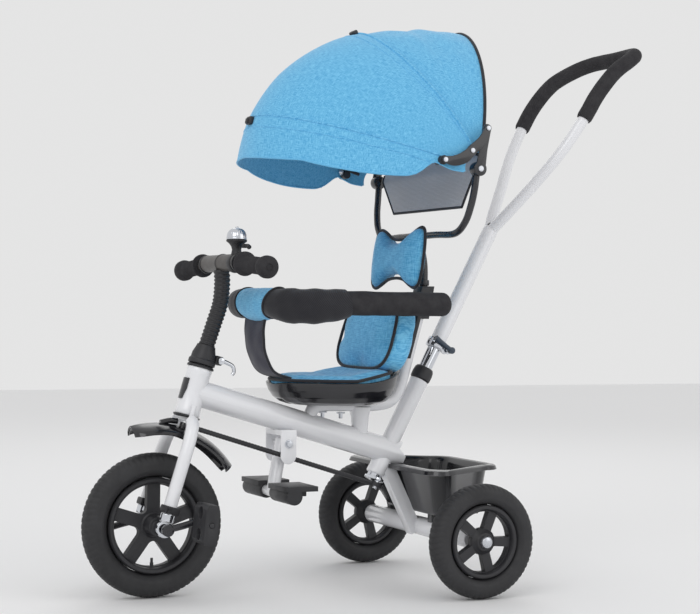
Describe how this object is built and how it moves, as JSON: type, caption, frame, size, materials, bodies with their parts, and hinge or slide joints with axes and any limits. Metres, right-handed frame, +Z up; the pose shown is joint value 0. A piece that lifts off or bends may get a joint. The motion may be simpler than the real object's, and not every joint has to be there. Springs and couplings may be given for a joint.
{
  "type": "child's tricycle",
  "caption": "Child's tricycle with a parent push bar that steers the front wheel, a folding canopy, a padded seat with a guard bar, a fold-away footrest and a rear basket.",
  "frame": {"origin": "on the ground, at the middle of the whole length and width", "axes": "+Z up, the rider faces -Y, the rider's left is +X"},
  "size_m": [0.5, 1.113, 1.0432],
  "materials": {
    "white_paint": "gloss white powder coat",
    "black_paint": "satin black paint",
    "black_plastic": "fine moulded texture",
    "black_gloss": "polished moulding",
    "grey_plastic": "warm dark grey, satin",
    "tyre": "foamed rubber, matt",
    "foam": "closed-cell foam, matt",
    "chrome": "bright plated",
    "lever_blue": "satin dark blue-grey",
    "blue_fabric": "heathered linen-look woven polyester",
    "strap_fabric": "dark navy weave and piping",
    "mesh_fabric": "light grey open mesh"
  },
  "bodies": {
    "frame": {"head_tube": "white_paint", "headset_lower": "black_plastic", "headset_upper": "black_plastic", "main_tube": "white_paint", "push_sleeve": "white_paint", "push_collar": "black_plastic", "rear_strut": "white_paint", "rear_axle_tube": "white_paint", "seat_tube": "white_paint", "back_board": "black_plastic", "seat_shell": "black_gloss", "seat_pad": "blue_fabric", "back_pad": "blue_fabric", "head_pillow": "blue_fabric", "guard_foam": "foam", "guard_cover": "blue_fabric", "crotch_strap": "strap_fabric", "canopy_socket": "black_plastic", "canopy_frame": "black_paint", "basket": "black_gloss", "footrest_bracket": "white_paint", "canopy_rear": "blue_fabric", "canopy_rear_bow": "black_paint", "mesh_panel": "mesh_fabric"},
    "footrest": {"footrest_bar": "white_paint"},
    "foot_pedal_left": {"foot_pedal_left": "black_plastic"},
    "foot_pedal_right": {"foot_pedal_right": "black_plastic"},
    "fork": {"fork": "white_paint", "front_fender": "black_gloss", "stem_collar": "black_plastic", "stem": "black_plastic", "handlebar": "grey_plastic", "grip_left": "foam", "grip_right": "foam", "bell_body": "black_plastic", "bell_dome": "chrome"},
    "stem_lever": {"stem_lever": "chrome"},
    "bell_lever": {"bell_lever": "black_plastic"},
    "front_wheel": {"front_tyre": "tyre", "front_rim": "black_plastic", "crank_axle": "black_paint"},
    "pedal_left": {"pedal_left": "black_plastic"},
    "pedal_right": {"pedal_right": "black_plastic"},
    "rear_wheel_left": {"left_rear_tyre": "tyre", "left_rear_rim": "black_plastic"},
    "rear_wheel_right": {"right_rear_tyre": "tyre", "right_rear_rim": "black_plastic"},
    "push_shaft": {"push_shaft": "white_paint"},
    "push_upper": {"push_tube": "white_paint", "handle_foam": "foam", "clamp_band": "chrome"},
    "clamp_lever": {"clamp_lever": "lever_blue"},
    "link_rod": {"link_rod": "black_plastic"},
    "canopy_front": {"canopy_front": "blue_fabric", "canopy_front_bow": "black_paint"},
    "stretcher_rear_left": {"stretcher_rear_left": "black_plastic"},
    "stretcher_rear_right": {"stretcher_rear_right": "black_plastic"},
    "stretcher_front_left": {"stretcher_front_left": "black_plastic"},
    "stretcher_front_right": {"stretcher_front_right": "black_plastic"}
  },
  "joints": [
    {"name": "fork_steer", "type": "hinge", "parent": "frame", "child": "fork", "pos_m": [0, -0.42365, 0.12525], "axis": [0, 0.2773, 0.9608], "range_deg": [-30, 30]},
    {"name": "front_wheel_spin", "type": "hinge", "parent": "fork", "child": "front_wheel", "pos_m": [0, -0.4297, 0.127], "axis": [1, 0, 0], "continuous": true},
    {"name": "pedal_left_spin", "type": "hinge", "parent": "front_wheel", "child": "pedal_left", "pos_m": [0.1185, -0.37439, 0.14079], "axis": [1, 0, 0], "continuous": true},
    {"name": "pedal_right_spin", "type": "hinge", "parent": "front_wheel", "child": "pedal_right", "pos_m": [-0.1185, -0.48501, 0.11321], "axis": [1, 0, 0], "continuous": true},
    {"name": "rear_left_spin", "type": "hinge", "parent": "frame", "child": "rear_wheel_left", "pos_m": [0.229, 0.1053, 0.102], "axis": [1, 0, 0], "continuous": true},
    {"name": "rear_right_spin", "type": "hinge", "parent": "frame", "child": "rear_wheel_right", "pos_m": [-0.229, 0.1053, 0.102], "axis": [1, 0, 0], "continuous": true},
    {"name": "push_bar_turn", "type": "hinge", "parent": "frame", "child": "push_shaft", "pos_m": [0, 0.0263, 0.238], "axis": [0, 0.4664, 0.8846], "range_deg": [-30, 30]},
    {"name": "link_pivot", "type": "hinge", "parent": "fork", "child": "link_rod", "pos_m": [0.027, -0.37394, 0.30107], "axis": [0, 0.2773, 0.9608], "range_deg": [-30, 30]},
    {"name": "push_bar_height", "type": "slide", "parent": "push_shaft", "child": "push_upper", "axis": [0, 0.4664, 0.8846], "range_m": [-0.035, 0.06]},
    {"name": "clamp_lever_open", "type": "hinge", "parent": "push_upper", "child": "clamp_lever", "pos_m": [0.02, 0.1574, 0.43454], "axis": [0, 0.4664, 0.8846], "range_deg": [0, 110]},
    {"name": "canopy_fold", "type": "hinge", "parent": "frame", "child": "canopy_front", "pos_m": [0, 0.1073, 0.765], "axis": [-1, 0, 0], "range_deg": [0, 40]},
    {"name": "stretcher_rear_left_pivot", "type": "hinge", "parent": "frame", "child": "stretcher_rear_left", "pos_m": [0.209, 0.1203, 0.838], "axis": [-1, 0, 0], "range_deg": [-22, 0]},
    {"name": "stretcher_rear_right_pivot", "type": "hinge", "parent": "frame", "child": "stretcher_rear_right", "pos_m": [-0.209, 0.1203, 0.838], "axis": [-1, 0, 0], "range_deg": [-22, 0]},
    {"name": "stretcher_front_left_pivot", "type": "hinge", "parent": "canopy_front", "child": "stretcher_front_left", "pos_m": [0.212, 0.0313, 0.777], "axis": [-1, 0, 0], "range_deg": [0, 20]},
    {"name": "stretcher_front_right_pivot", "type": "hinge", "parent": "canopy_front", "child": "stretcher_front_right", "pos_m": [-0.212, 0.0313, 0.777], "axis": [-1, 0, 0], "range_deg": [0, 20]},
    {"name": "footrest_fold", "type": "hinge", "parent": "frame", "child": "footrest", "pos_m": [0, -0.1847, 0.266], "axis": [1, 0, 0], "range_deg": [0, 28]},
    {"name": "foot_pedal_left_flip", "type": "hinge", "parent": "footrest", "child": "foot_pedal_left", "pos_m": [0, -0.2017, 0.178], "axis": [1, 0, 0], "range_deg": [0, 90]},
    {"name": "foot_pedal_right_flip", "type": "hinge", "parent": "footrest", "child": "foot_pedal_right", "pos_m": [0, -0.2017, 0.178], "axis": [1, 0, 0], "range_deg": [0, 90]},
    {"name": "bell_lever_press", "type": "hinge", "parent": "fork", "child": "bell_lever", "pos_m": [0.079, -0.29407, 0.61875], "axis": [0, 0, 1], "range_deg": [0, 14], "stiffness_Nm_per_rad": 0.03},
    {"name": "stem_lever_open", "type": "hinge", "parent": "fork", "child": "stem_lever", "pos_m": [0.013, -0.30886, 0.41478], "axis": [1, 0, 0], "range_deg": [0, 60]}
  ],
  "couplings": [
    {"joint": "push_bar_turn", "follows": "fork_steer", "ratio": 1},
    {"joint": "link_pivot", "follows": "fork_steer", "ratio": -1},
    {"joint": "stretcher_rear_left_pivot", "follows": "canopy_fold", "ratio": -0.53},
    {"joint": "stretcher_rear_right_pivot", "follows": "canopy_fold", "ratio": -0.53},
    {"joint": "stretcher_front_left_pivot", "follows": "canopy_fold", "ratio": 0.48},
    {"joint": "stretcher_front_right_pivot", "follows": "canopy_fold", "ratio": 0.48}
  ]
}
